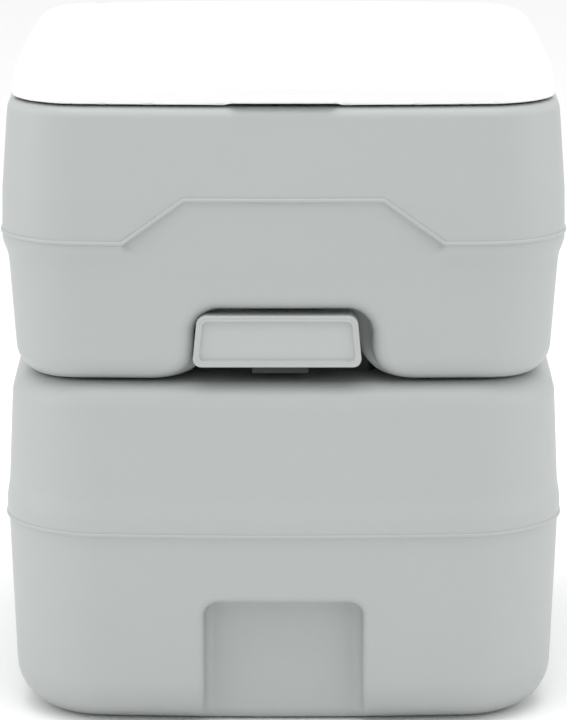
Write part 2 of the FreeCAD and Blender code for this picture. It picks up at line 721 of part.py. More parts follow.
def rounded_hood():
    """The fan-shaped spreader inside the bowl."""
    block = box(-9, 9, 89, 92.6, HOSE_Z - 6, HOSE_Z + 5)
    return block.makeFillet(1.5, block.Edges)


def flush_hose():
    """From the pump's outlet along the back of the tank, round one bend, to the nozzle."""
    s = math.sqrt(0.5)
    start = V(PUMP_X + PUMP_CYLINDER_R + 1, REAR_Y, HOSE_Z)
    corner_in = V(-HOSE_BEND, REAR_Y, HOSE_Z)
    middle = V(-HOSE_BEND * (1 - s), REAR_Y - HOSE_BEND * (1 - s), HOSE_Z)
    corner_out = V(0, REAR_Y - HOSE_BEND, HOSE_Z)
    end = V(0, 115, HOSE_Z)
    path = Part.Wire([
        Part.LineSegment(start, corner_in).toShape(),
        Part.Arc(corner_in, middle, corner_out).toShape(),
        Part.LineSegment(corner_out, end).toShape(),
    ])
    shapes = []
    for radius in (HOSE_R, 2.6):
        circle = Part.Circle(start, X_AXIS, radius).toShape()
        shapes.append(path.makePipeShell([Part.Wire(circle)], True, False))
    return shapes[0].cut(shapes[1])


def pump_collar():
    base = V(PUMP_X, REAR_Y, DECK)
    flange = cylinder(PUMP_FLANGE_R, base, 3)
    flange = flange.makeFillet(1.2, rim(flange, DECK + 3))
    cup = cylinder(PUMP_CUP_R, base - V(0, 0, 13), 13)
    body = flange.fuse(cup).cut(cylinder(PUMP_KNOB_R + 0.5, base - V(0, 0, 11), 20))
    return body.cut(cylinder(3 + RUNNING, base - V(0, 0, 20), 20))


def pump_cylinder():
    foot = V(PUMP_X, REAR_Y, PUMP_FOOT)
    height = DECK - 13 - PUMP_FOOT
    barrel = tube(PUMP_CYLINDER_R, PUMP_BORE_R, foot, height)
    outlet = V(PUMP_X + PUMP_BORE_R + 0.5, REAR_Y, HOSE_Z)
    barrel = barrel.fuse(cylinder(2.6, outlet, 11, X_AXIS))
    return barrel.cut(cylinder(1.6, outlet - V(3, 0, 0), 20, X_AXIS))


def pump_knob():
    base = V(PUMP_X, REAR_Y, 0)
    foot = PUMP_KNOB_TOP - 14
    body = cylinder(PUMP_KNOB_R, base + V(0, 0, foot), 14)
    body = body.makeFillet(3, rim(body, PUMP_KNOB_TOP))
    body = body.cut(cylinder(PUMP_KNOB_R - 2, base + V(0, 0, foot - 1), 12))
    boss = tube(5, 3, base + V(0, 0, foot + 2), 9.5)
    dish = Part.makeSphere(60, base + V(0, 0, PUMP_KNOB_TOP + 58.8))
    return united([body, boss]).cut(dish)


def pump_rod():
    foot = PUMP_FOOT + 44
    return cylinder(3, V(PUMP_X, REAR_Y, foot), PUMP_KNOB_TOP - 3 - foot)


def pump_piston():
    foot = PUMP_FOOT + 44
    disc = tube(PUMP_BORE_R - 0.4, 3, V(PUMP_X, REAR_Y, foot), 12)
    return disc.cut(tube(PUMP_BORE_R, 9.6, V(PUMP_X, REAR_Y, foot + 4), 4))


def pump_piston_ring():
    return tube(PUMP_BORE_R - 0.05, 9.6, V(PUMP_X, REAR_Y, PUMP_FOOT + 48), 4)


def pump_spring():
    return spring(10, 0.8, PUMP_X, REAR_Y, DECK - 10.9, PUMP_KNOB_TOP - 3.1, 4)


def pump_foot_valve():
    base = V(PUMP_X, REAR_Y, PUMP_FOOT)
    plug = cylinder(PUMP_BORE_R, base, 8)
    cage = cylinder(PUMP_CYLINDER_R, base - V(0, 0, 10), 10)
    body = plug.fuse(cage).cut(cylinder(6, base - V(0, 0, 8), 20))
    for angle in range(0, 180, 45):
        slot = box(-20, 20, -1.5, 1.5, PUMP_FOOT - 8, PUMP_FOOT - 2)
        slot.rotate(V(0, 0, 0), Z_AXIS, angle)
        slot.translate(V(PUMP_X, REAR_Y, 0))
        body = body.cut(slot)
    return body


def fill_cap():
    base = V(FILL_X, REAR_Y, 0)
    foot = DECK + 0.8
    cap = cylinder(FILL_CAP_R - 1, base + V(0, 0, foot), FILL_CAP_TOP - foot)
    cap = cap.makeFillet(1.5, rim(cap, FILL_CAP_TOP))
    cap = cap.cut(cylinder(FILL_NECK_R + 0.4, base + V(0, 0, foot - 1), FILL_CAP_TOP - foot - 1.5))
    cap = with_ribs(cap, base + V(0, 0, foot + 0.7), FILL_CAP_R - 1, FILL_CAP_TOP - foot - 3, 28, 0.9, Z_AXIS)
    crest = FILL_CAP_TOP + 4
    grip = rounded_box(FILL_X - 18, FILL_X + 18, REAR_Y - 3.5, REAR_Y + 3.5, FILL_CAP_TOP - 1, crest, 3.4)
    grip = grip.makeFillet(1.2, rim(grip, crest))
    return united([cap, grip])


def fill_cap_gasket():
    return tube(FILL_NECK_R, FILL_BORE_R - 1, V(FILL_X, REAR_Y, FILL_NECK_TOP + 0.1), 1.8)


# Hinges, seat and lid


def hinge_screw_places():
    return [(sx * x, HINGE_Y + 10.5) for sx in (-1, 1) for x in (85.0, 107.5)]


def hinge_post():
    x0, x1 = POST_X
    base = rounded_box(80, 112, HINGE_Y - 7, HINGE_Y + 15, DECK, DECK + 3, 3)
    block = box(x0, x1, HINGE_Y - KNUCKLE_R, HINGE_Y + KNUCKLE_R, DECK, HINGE_Z)
    crown = cylinder(KNUCKLE_R, V(x0, HINGE_Y, HINGE_Z), x1 - x0, X_AXIS)
    rib = box(x0 + 4, x1 - 4, HINGE_Y, HINGE_Y + 12, DECK + 2, DECK + 8)
    post = united([base, block, crown, rib])
    post = post.cut(cylinder(HINGE_PIN_R, V(x0 - 1, HINGE_Y, HINGE_Z), x1 - x0 + 2, X_AXIS))
    for x, y in hinge_screw_places():
        post = post.cut(cylinder(1.8, V(x, y, DECK - 1), 8))
    return post


def hinge_pins():
    shank = cylinder(HINGE_PIN_R, V(SEAT_KNUCKLE_X[0] - 1, HINGE_Y, HINGE_Z), 40, X_AXIS)
    head = cylinder(5, V(SEAT_KNUCKLE_X[0] + 39, HINGE_Y, HINGE_Z), 2.4, X_AXIS)
    head = head.makeFillet(1, edges_where(head, lambda e: e.BoundBox.XMin > SEAT_KNUCKLE_X[0] + 41))
    return both_sides(shank.fuse(head))


def hinge_screws():
    screws = []
    for x, y in hinge_screw_places():
        shank = cylinder(1.6, V(x, y, DECK - 3), 6)
        head = cylinder(3.2, V(x, y, DECK + 3), 2)
        slot = box(x - 2, x + 2, y - 0.4, y + 0.4, DECK + 4, DECK + 6)
        screws.append(shank.fuse(head).cut(slot))
    return Part.makeCompound(screws)


def knuckle(span, arm_from, z0, z1):
    """A hinge eye and the arm that joins it to the seat or the lid."""
    x0, x1 = span
    eye = cylinder(KNUCKLE_R, V(x0, HINGE_Y, HINGE_Z), x1 - x0, X_AXIS)
    arm = box(x0, x1, arm_from, HINGE_Y, z0, z1)
    return eye.fuse(arm)


def knuckle_bore():
    return cylinder(HINGE_PIN_R + RUNNING, V(SEAT_KNUCKLE_X[0] - 2, HINGE_Y, HINGE_Z), 44, X_AXIS)


def seat_opening(grow_foot, grow_top):
    """The oval hole through the seat, wider or narrower at either end."""
    foot = ellipse_wire(SEAT_HALF_X + grow_foot, SEAT_HALF_Y + grow_foot, BOWL_Y, SEAT_FOOT - 2)
    top = ellipse_wire(SEAT_HALF_X + grow_top, SEAT_HALF_Y + grow_top, BOWL_Y, SEAT_TOP + 2)
    return Part.makeLoft([foot, top], True, True)


def seat():
    ring = SEAT.solid([(SEAT_FOOT, 0), (SEAT_TOP, 0.8)])
    ring = ring.cut(seat_opening(1.5, -0.5))
    ring = ring.makeFillet(5, rim(ring, SEAT_TOP))
    pocket = SEAT.solid([(SEAT_FOOT - 1, SEAT_WALL), (SEAT_TOP - SEAT_WALL, SEAT_WALL + 0.6)])
    ring = ring.cut(pocket.cut(seat_opening(SEAT_WALL + 1.5, SEAT_WALL + 1.5)))
    arm = knuckle(SEAT_KNUCKLE_X, 106, HINGE_Z - 6, HINGE_Z)
    body = united([ring, arm, arm.mirror(V(0, 0, 0), X_AXIS)])
    bore = knuckle_bore()
    return body.cut(bore).cut(bore.mirror(V(0, 0, 0), X_AXIS))


def seat_buffers():
    pads = []
    for x in (-138.0, 138.0):
        for y in (-95.0, 55.0):
            pad = cylinder(8, V(x, y, DECK + BODY_GAP), SEAT_TOP - SEAT_WALL - DECK - BODY_GAP)
            pads.append(pad.makeFillet(2, rim(pad, DECK + BODY_GAP)))
    return Part.makeCompound(pads)


def lid_dome(sink):
    """A very large ball whose top is the lid's slightly crowned face, sunk by a depth."""
    ball = Part.makeSphere(LID_DOME_R - sink)
    ball.rotate(V(0, 0, 0), Y_AXIS, 90)
    ball.translate(V(0, -36, LID_TOP - LID_DOME_R))
    return ball


def lid_room():
    """The hollow under the lid."""
    block = LID.solid([(LID_FOOT - 1, LID_WALL), (LID_TOP + 2, LID_WALL + 1.6)])
    return block.common(lid_dome(LID_WALL))


def lid():
    body = LID.solid([(LID_FOOT, 0), (LID_TOP + 2, 1.6)]).common(lid_dome(0))
    top = edges_where(body, lambda e: e.BoundBox.ZMin > LID_FOOT + 10 and e.BoundBox.ZLength < 6)
    body = body.makeFillet(LID_EDGE_R, top)
    room = lid_room()
    ceiling = edges_where(room, lambda e: e.BoundBox.ZMin > LID_FOOT + 10 and e.BoundBox.ZLength < 6)
    body = body.cut(room.makeFillet(LID_EDGE_R - LID_WALL, ceiling))
    for sign in (-1, 1):
        x0, x1 = sorted((sign * (SEAT_KNUCKLE_X[0] - 2), sign * (SEAT_KNUCKLE_X[1] + 2)))
        body = body.cut(box(x0, x1, 110, 135, LID_FOOT - 1, HINGE_Z + 2.5))
    eye = knuckle(LID_KNUCKLE_X, 125.5, HINGE_Z - 6, HINGE_Z)
    body = united([body, eye, eye.mirror(V(0, 0, 0), X_AXIS), lid_tab()])
    bore = knuckle_bore()
    return body.cut(bore).cut(bore.mirror(V(0, 0, 0), X_AXIS))


def lid_tab():
    """The thumb lip at the front of the lid."""
    front, root = -203.2, -197.5
    outline = [(-36, root), (-32.5, front), (32.5, front), (36, root)]
    points = [V(x, y, LID_FOOT) for x, y in outline]
    tab = Part.Face(Part.makePolygon([*points, points[0]])).extrude(V(0, 0, 3.4))
    nose = edges_where(tab, lambda e: e.BoundBox.YMax < front + 0.1 and e.BoundBox.ZMin > LID_FOOT + 1)
    return tab.makeFillet(1.5, nose)


def lid_buffers():
    room = lid_room()
    pads = [cylinder(6, V(x, y, SEAT_TOP + BODY_GAP), 30).common(room)
            for x in (-136.0, 136.0) for y in (-110.0, 60.0)]
    return Part.makeCompound(pads)


# Side latches


def latch_pin(radius):
    reach = LATCH_POCKET_HALF + 3
    return cylinder(radius, V(LATCH_PIVOT_X, LATCH_Y - reach, LATCH_PIVOT_Z), 2 * reach, Y_AXIS)


def latch():
    """The right-hand lever: an eye, a plate, a hook at its foot and a thumb lip."""
    y0, y1 = LATCH_Y - LATCH_HALF, LATCH_Y + LATCH_HALF
    eye = cylinder(4.5, V(LATCH_PIVOT_X, y0, LATCH_PIVOT_Z), y1 - y0, Y_AXIS)
    plate = box(LATCH_PIVOT_X - 2, LATCH_PIVOT_X + 2, y0, y1, 197, LATCH_PIVOT_Z)
    plate = plate.makeFillet(5, edges_where(
        plate, lambda e: e.BoundBox.XLength > 3.9 and e.BoundBox.ZMax < 198 and e.BoundBox.YLength < 0.1))
    hook = box(156.5, LATCH_PIVOT_X - 2, y0 + 6, y1 - 6, 198, 203.5)
    lip = box(LATCH_PIVOT_X + 2, LATCH_PIVOT_X + 4.5, y0 + 6, y1 - 6, 197.5, 201.5)
    rib_x = LATCH_PIVOT_X + 2
    ribs = [box(rib_x, rib_x + 1, y0 + 8, y1 - 8, z, z + 1.6) for z in (206.0, 210.0, 214.0)]
    lever = united([eye, plate, hook, lip, *ribs])
    lever = lever.cut(latch_pin(LATCH_PIN_R + RUNNING))
    lever.rotate(V(LATCH_PIVOT_X, 0, LATCH_PIVOT_Z), Y_AXIS, -LATCH_AJAR)
    return lever


def main():
    os.makedirs("parts", exist_ok=True)
    right_latch, right_post = latch(), hinge_post()
    nodes = {
        "waste_tank": waste_tank(),
        "valve_base": valve_base(),
        "valve_cover": valve_cover(),
        "valve_screws": valve_screws(),
        "valve_gasket": valve_gasket(),
        "valve_seal": valve_seal(),
        "valve_blade": valve_blade(),
        "valve_handle": valve_handle(),
        "handle_screws": handle_screws(),
        "spout_nut": spout_nut(),
        "spout_o_ring": spout_o_ring(),
        "spout_elbow": spout_elbow(),
        "spout_cap": spout_cap(),
        "spout_cap_gasket": spout_cap_gasket(),
        "vent_housing": vent_housing(),
        "vent_button": vent_button(),
        "vent_seal": vent_seal(),
        "vent_spring": vent_spring(),
        "upper_tank": upper_tank(),
        "bowl": bowl(),
        "flush_nozzle": flush_nozzle(),
        "flush_hose": flush_hose(),
        "pump_collar": pump_collar(),
        "pump_cylinder": pump_cylinder(),
        "pump_knob": pump_knob(),
        "pump_rod": pump_rod(),
        "pump_piston": pump_piston(),
        "pump_piston_ring": pump_piston_ring(),
        "pump_spring": pump_spring(),
        "pump_foot_valve": pump_foot_valve(),
        "fill_cap": fill_cap(),
        "fill_cap_gasket": fill_cap_gasket(),
        "hinge_post_right": right_post,
        "hinge_post_left": right_post.mirror(V(0, 0, 0), X_AXIS),
        "hinge_pins": hinge_pins(),
        "hinge_screws": hinge_screws(),
        "seat": seat(),
        "seat_buffers": seat_buffers(),
        "lid": lid(),
        "lid_buffers": lid_buffers(),
        "latch_right": right_latch,
        "latch_left": right_latch.mirror(V(0, 0, 0), X_AXIS),
        "latch_pins": both_sides(latch_pin(LATCH_PIN_R)),
    }
    for name, shape in nodes.items():
        shape.exportStep(f"parts/{name}.step")
        print(f"{name}: {len(shape.Solids)} solids, {shape.Volume / 1000:.1f} cm3, valid {shape.isValid()}")


main()
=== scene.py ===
"""Looks of the portable camp toilet: moulded skins, finishes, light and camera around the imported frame.

Each moulded shell is the zero surface of a distance field that follows the CAD part's own outline, with
the soft edges of a moulding. Fields work in millimetres in the CAD frame, and the meshes are in metres.
"""

import json
import math

import bpy
import numpy as np
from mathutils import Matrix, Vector


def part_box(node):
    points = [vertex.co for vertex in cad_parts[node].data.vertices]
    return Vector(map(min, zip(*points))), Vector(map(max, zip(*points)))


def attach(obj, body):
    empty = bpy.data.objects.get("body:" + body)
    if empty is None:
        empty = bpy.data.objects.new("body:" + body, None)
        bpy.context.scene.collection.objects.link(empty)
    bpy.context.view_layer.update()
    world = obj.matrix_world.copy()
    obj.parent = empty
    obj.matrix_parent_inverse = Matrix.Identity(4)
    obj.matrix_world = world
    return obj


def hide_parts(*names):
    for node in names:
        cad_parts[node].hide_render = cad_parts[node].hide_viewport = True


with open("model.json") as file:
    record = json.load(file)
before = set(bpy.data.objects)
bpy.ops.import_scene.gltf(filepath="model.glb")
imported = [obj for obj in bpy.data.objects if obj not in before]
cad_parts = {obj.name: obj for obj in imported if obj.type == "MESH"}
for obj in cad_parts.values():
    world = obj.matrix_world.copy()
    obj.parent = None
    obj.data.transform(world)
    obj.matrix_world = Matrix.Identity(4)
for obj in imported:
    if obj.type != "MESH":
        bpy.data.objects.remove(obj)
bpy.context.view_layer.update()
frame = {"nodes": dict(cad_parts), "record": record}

MM = 0.001


def level(node, corner, axis):
    """One coordinate of a CAD node's box, in millimetres."""
    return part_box(node)[corner][axis] / MM


def middle(node, axis):
    """The middle of a CAD node's box along one axis, in millimetres."""
    return (level(node, 0, axis) + level(node, 1, axis)) / 2


# Driving sizes, from the frame
LOWER_TOP = level("valve_base", 0, 2)
UPPER_BOTTOM = level("upper_tank", 0, 2)
DECK = level("hinge_post_right", 0, 2)
SEAT_TOP = level("seat", 1, 2)
LID_FOOT = level("lid", 0, 2)
LID_TOP = level("lid", 1, 2)
HALF_WIDTH = level("upper_tank", 1, 0)
HALF_DEPTH = level("upper_tank", 1, 1)
HANDLE_X = middle("valve_handle", 0)
HANDLE_FRONT = level("valve_handle", 0, 1)
HANDLE_BACK = level("valve_handle", 1, 1)
HANDLE_FOOT = level("valve_handle", 0, 2)
HANDLE_TOP = level("valve_handle", 1, 2)
HINGE_Y = middle("hinge_pins", 1)
HINGE_Z = middle("hinge_pins", 2)
FILL_X = middle("fill_cap", 0)
PUMP_X = middle("pump_collar", 0)
REAR_Y = middle("pump_collar", 1)
SPOUT = (middle("spout_nut", 0), middle("spout_nut", 1))
VENT = (middle("vent_housing", 0), middle("vent_housing", 1))
DROP_Y = middle("valve_seal", 1)

# Walls and parting lines, as in the CAD part
WALL = 3.5
RIDGE = 0.6
LOWER_SEAM = 129.0
UPPER_SEAM = 319.0
PANEL_TOP = 347.0
PANEL_FOOT = 297.0
PANEL_HALF_TOP = 63.0
PANEL_HALF_FOOT = 102.0
PANEL_BACK = -100.0

# Plans: half width, front, back, corner radius, and how far the front, the back and the sides bow out
LOWER_PLAN = (181.6, -206.5, 206.5, 62.0, 10.0, 6.0, 2.5)
UPPER_PLAN = (HALF_WIDTH - RIDGE, RIDGE - HALF_DEPTH, HALF_DEPTH - RIDGE, 50.0, 8.0, 5.0, 2.5)
SEAT_PLAN = (169.8, -194.8, 113.0, 50.0, 8.0, 2.0, 2.5)
LID_PLAN = (174.3, -199.3, 128.0, 42.0, 8.0, 2.0, 2.5)

# The rear bay, the latch pockets and catches, and the locating studs
BAY_FLOOR = 190.0
BAY_ROOF = 262.0
BAY_HALF = 143.0
BAY_FRONT = 129.0
POCKET_X = 154.0
POCKET_Y = 20.0
POCKET_HALF = 30.0
POCKET_FOOT = 188.0
POCKET_TOP = 275.0
CATCH_LOW = (151.0, POCKET_Y - 18, 205.0)
CATCH_HIGH = (160.0, POCKET_Y + 18, 212.0)
STUD_X = 120.0
STUD_YS = (-120.0, 85.0)
STUD_R = 12.0
STUD_RISE = 5.0
SOCKET_R = 12.6

# The waste tank's grips and holes
GRIP = {"half": 51, "top": 84, "corner": 9, "flare": 10, "foot": -2}
GRIP_BACK = 183.5
COLLAR_R = 25.0
COLLAR_RISE = 10.0
COLLAR_BORE_R = 21.5
VENT_HOLE_R = 8.0
DROP_R = 46.0

# The flush tank's hollows and holes
RECESS = {"half": 56.5, "top": 275, "corner": 16, "flare": 30, "foot": UPPER_BOTTOM - 3.5}
RECESS_BACK = -177.0
STEM_X = 1.0
STEM_ARCH = {"half": 44.5, "top": 270.5, "corner": 28, "flare": 36, "foot": UPPER_BOTTOM - 1}
STEM_FRONT = -240.0
STEM_BACK = -140.0
ROOM_LOW, ROOM_HIGH = (-66, -154, 200), (66, 61, 252)
SLOT_LOW, SLOT_HIGH = (-54, -165, 200), (54, STEM_BACK, 238)
NECK_R = 47.5
NECK_FOOT = 243.0
NECK_TOP = 270.0
FUNNEL_FOOT = 262.0
OUTLET_R = 44.0
OUTLET_TOP = 290.0
FILLER_R = 22.0
FILLER_RISE = 10.0
FILLER_BORE_R = 18.5
PUMP_BORE_R = 20.1

# A cut starts this far under the surface that it opens, and runs on this far past it
CUT_UNDER = 12.0
CUT_PAST = 30.0

# Hinge knuckles
EYE_R = 6.5
PIN_BORE_R = 3.06
SEAT_EYES = {"inner": 78, "outer": 90, "arm_from": 106}
LID_EYES = {"inner": 104, "outer": 116, "arm_from": 125.5}

# Seat
BOWL_Y = -34.0
SEAT_HOLE_HALF_X = 102.0
SEAT_HOLE_HALF_Y = 126.0
SEAT_HOLE_WALL = 5.0
SEAT_HEIGHT = 12.0
SEAT_DRAFT = 0.8
SEAT_WALL = 3.4
SEAT_SLOPE = 2.4
SEAT_SLOPE_REACH = 46.0

# Lid
LID_DOME_R = 9500.0
LID_DOME_Y = -36.0
LID_DRAFT = 0.055
LID_EDGE_R = 17.0
LID_WALL = 3.0
LID_NOTCH_X = (76.0, 92.0)
LID_NOTCH_Y = (110.0, 135.0)
LIFT_HALF = 36.0
LIFT_SLANT = 2.5
LIFT_Y = -200.0
LIFT_HALF_DEPTH = 8.0
LIFT_HEIGHT = 1.4
TAB_HALF = 34.0
TAB_FRONT = -203.2
TAB_BACK = -197.0
TAB_FLARE_Y = -198.0
TAB_FLARE = 0.6
TAB_MIDDLE = 2.9
TAB_HALF_HEIGHT = 1.4

# Pull handle
HANDLE_HALF_FOOT = 54.0
HANDLE_TAPER = 3.2
HANDLE_CORNER = 6.0
HANDLE_SKIN = 4.0
GROOVE_R = 0.75
GROOVE_OUT = 0.35
PANEL_SUNK = 2.0
BOSS_R = 4.0
BOSS_HALF = 8.5
BOSS_HEIGHTS = (248.0, 262.0)


# Distance fields: negative inside, in millimetres


def round_and(a, b, radius):
    """What is inside both a and b, with the edge between them rounded."""
    u, v = a + radius, b + radius
    return np.hypot(np.maximum(u, 0), np.maximum(v, 0)) + np.minimum(np.maximum(u, v), 0) - radius


def round_or(a, b, fillet):
    """What is inside either, with the inner corner between them filled to a radius."""
    return -round_and(-a, -b, fillet)


def cut(a, b, lip):
    """a with b taken away, and the lip rounded."""
    return round_and(a, -b, lip)


def shell(d, wall):
    """The skin of that thickness just inside a solid's surface."""
    return np.abs(d + wall / 2) - wall / 2


def between(value, low, high):
    """Negative between two levels."""
    return np.abs(value - (low + high) / 2) - (high - low) / 2


def block(x, y, z, low, high, radius):
    """A box with rounded edges."""
    away = [between(value, lo, hi) + radius for value, lo, hi in zip((x, y, z), low, high)]
    a, b, c = (np.maximum(v, 0) for v in away)
    inner = np.minimum(np.maximum(np.maximum(*away[:2]), away[2]), 0)
    return np.sqrt(a * a + b * b + c * c) + inner - radius


def upright_round(x, y, z, centre, radius, low, high, edge=0.0):
    """A vertical cylinder with rounded rims."""
    around = np.hypot(x - centre[0], y - centre[1]) - radius
    return round_and(around, between(z, low, high), edge)


def hole_through(x, y, z, centre, radius, surface_z, under=CUT_UNDER):
    """A round hole down through a surface."""
    return upright_round(x, y, z, centre, radius, surface_z - under, surface_z + CUT_PAST)


def outline(x, y, plan):
    """Distance from a rounded rectangle with bowed sides."""
    half_x, front, back, corner, bow_front, bow_back, bow_side = plan
    half_y = (back - front) / 2
    r_side = (half_y**2 + bow_side**2) / (2 * bow_side)
    r_front = (half_x**2 + bow_front**2) / (2 * bow_front)
    r_back = (half_x**2 + bow_back**2) / (2 * bow_back)
    side = np.hypot(np.abs(x) + r_side - half_x, y - (front + back) / 2) - r_side
    fore = np.hypot(x, y - front - r_front) - r_front
    aft = np.hypot(x, y - back + r_back) - r_back
    return round_and(side, np.maximum(fore, aft), corner)


def softened(table, softness=1.0):
    """Heights and values of a table of (height, value), with its corners softened."""
    spacing, side_steps, margin = 0.5, 24, 30.0
    heights = np.arange(table[0][0] - margin, table[-1][0] + margin, spacing)
    values = np.interp(heights, [h for h, _ in table], [v for _, v in table])
    reach = np.arange(-side_steps, side_steps + 1) * spacing
    weights = np.exp(-((reach / softness) ** 2) / 2)
    padded = np.pad(values, side_steps, mode="edge")
    return heights, np.convolve(padded, weights / weights.sum(), mode="valid")


def along(z, profile):
    """The value of a softened table at a height."""
    return np.interp(z, *profile)


# How far each wall stands in from its outline, by height
LOWER_WALL = softened([(0, 6.5), (127, 1.2), (LOWER_SEAM, 0), (140, 0), (152, 1.8), (LOWER_TOP, 5.0)])
UPPER_WALL = softened([
    (UPPER_BOTTOM, 9.6),
    (296, 4.5),
    (304, 3.6),
    (309.5, 1.5),
    (313, 0.2),
    (UPPER_SEAM, 0),
    (345, 0.4),
    (390, 3.6),
    (DECK, 4.9),
])
PANEL_WALL = softened([(290, 4.9), (304, 3.7), (352, 0.9)])

# The bowl's half width, half length and middle, by height
BOWL_HALF_X = softened([(256, 40), (295, 67), (335, 99), (375, 114.5), (DECK, 118)], softness=7)
BOWL_HALF_Y = softened([(256, 41), (295, 74), (335, 113), (375, 133.5), (DECK, 138)], softness=7)
BOWL_MIDDLE = softened([(256, DROP_Y), (295, -20), (335, -31), (375, BOWL_Y), (DECK, BOWL_Y)], softness=7)


def smooth_step(value):
    """0 to 1, with a soft start and a soft end."""
    t = np.clip(value, 0, 1)
    return t * t * (3 - 2 * t)


def arch(x, z, half, top, corner, flare, foot):
    """An arched opening seen from the front, with feet that flare out."""
    opening = round_and(np.abs(x) - half, z - top, corner)
    return round_or(opening, z - foot, flare)


def oval(x, y, half_x, half_y, centre_y):
    """Distance from an oval, close to its edge."""
    u, v = x / half_x, (y - centre_y) / half_y
    size = np.sqrt(u * u + v * v) + 1e-9
    slope = np.sqrt((u / half_x) ** 2 + (v / half_y) ** 2) / size + 1e-9
    return (size - 1) / slope


def rear_bay(x, y, z_limit):
    """The bay across the back for the spout, up or down to a limit."""
    return round_and(round_and(np.abs(x) - BAY_HALF, BAY_FRONT - y, radius=12), z_limit, radius=5)


def latch_pocket(x, y, z_limit):
    """The pocket in each side for its latch, up or down to a limit."""
    sides = round_and(POCKET_X - np.abs(x), np.abs(y - POCKET_Y) - POCKET_HALF, radius=3)
    return round_and(sides, z_limit, radius=3)


def studs(x, y, z, radius, joint_z, edge):
    """The four locating studs, or the sockets for them, on the face where the tanks meet."""
    far_y = np.minimum(np.abs(y - STUD_YS[0]), np.abs(y - STUD_YS[1]))
    around = np.hypot(np.abs(x) - STUD_X, far_y) - radius
    return round_and(around, between(z, joint_z - 20, joint_z + STUD_RISE), edge)


def waste_wall(x, y, z):
    """The waste tank's outer wall."""
    return outline(x, y, LOWER_PLAN) + along(z, LOWER_WALL)


def waste_tank_field(x, y, z):
    """The blow-moulded waste tank, hollow, with its drop hole, grips, rear bay and latch pockets."""
    d = round_and(waste_wall(x, y, z), z - LOWER_TOP, radius=16)
    d = round_or(d, studs(x, y, z, STUD_R, LOWER_TOP, edge=2), fillet=2)
    d = round_and(d, -z, radius=30)
    grip = round_and(arch(x, z, **GRIP), GRIP_BACK - np.abs(y), radius=7)
    d = cut(d, grip, lip=5)
    d = cut(d, rear_bay(x, y, BAY_FLOOR - z), lip=3)
    d = cut(d, latch_pocket(x, y, POCKET_FOOT - z), lip=2.5)
    d = shell(d, WALL)
    d = round_or(d, block(np.abs(x), y, z, CATCH_LOW, CATCH_HIGH, radius=1), fillet=1)
    collar = upright_round(x, y, z, SPOUT, COLLAR_R, BAY_FLOOR - WALL, BAY_FLOOR + COLLAR_RISE, edge=1)
    d = round_or(d, collar, fillet=0.5)
    d = cut(d, hole_through(x, y, z, SPOUT, COLLAR_BORE_R, BAY_FLOOR), lip=0.8)
    d = cut(d, hole_through(x, y, z, VENT, VENT_HOLE_R, BAY_FLOOR), lip=0.8)
    return cut(d, hole_through(x, y, z, (0, DROP_Y), DROP_R, LOWER_TOP, under=15), lip=1)


def panel_mask(x, y, z):
    """1 under the raised stretch of the parting line on the front, 0 elsewhere."""
    run, rise = PANEL_HALF_FOOT - PANEL_HALF_TOP, PANEL_TOP - UPPER_SEAM
    slant = ((np.abs(x) - PANEL_HALF_FOOT) * rise + (z - UPPER_SEAM) * run) / math.hypot(run, rise)
    sides = np.maximum(slant, np.abs(x) - PANEL_HALF_FOOT)
    inside = np.maximum(np.maximum(sides, z - PANEL_TOP), y - PANEL_BACK)
    sharp, soft, fall = 3.0, 15.0, 8.0
    fade = sharp + soft * smooth_step((UPPER_SEAM - z) / fall)
    return smooth_step(0.35 - inside / fade) * smooth_step((z - PANEL_FOOT) / 9)


def flush_wall(x, y, z):
    """The flush tank's wall without the panel on its front."""
    return outline(x, y, UPPER_PLAN) + along(z, UPPER_WALL)


def bowl(x, y, z):
    """The funnel of the bowl."""
    sides = oval(x, y, along(z, BOWL_HALF_X), along(z, BOWL_HALF_Y), along(z, BOWL_MIDDLE))
    funnel = np.maximum(sides, FUNNEL_FOOT - z)
    outlet = np.maximum(np.hypot(x, y - DROP_Y) - OUTLET_R, z - OUTLET_TOP)
    return round_or(funnel, outlet, fillet=8)


def valve_room(x, y, z):
    """The hollow under the flush tank over the slide valve, and its way out to the front."""
    room = block(x, y, z, ROOM_LOW, ROOM_HIGH, radius=5)
    slot = block(x, y, z, SLOT_LOW, SLOT_HIGH, radius=2)
    stem = np.maximum(arch(x - STEM_X, z, **STEM_ARCH), between(y, STEM_FRONT, STEM_BACK))
    return round_or(np.minimum(room, slot), stem, fillet=2)


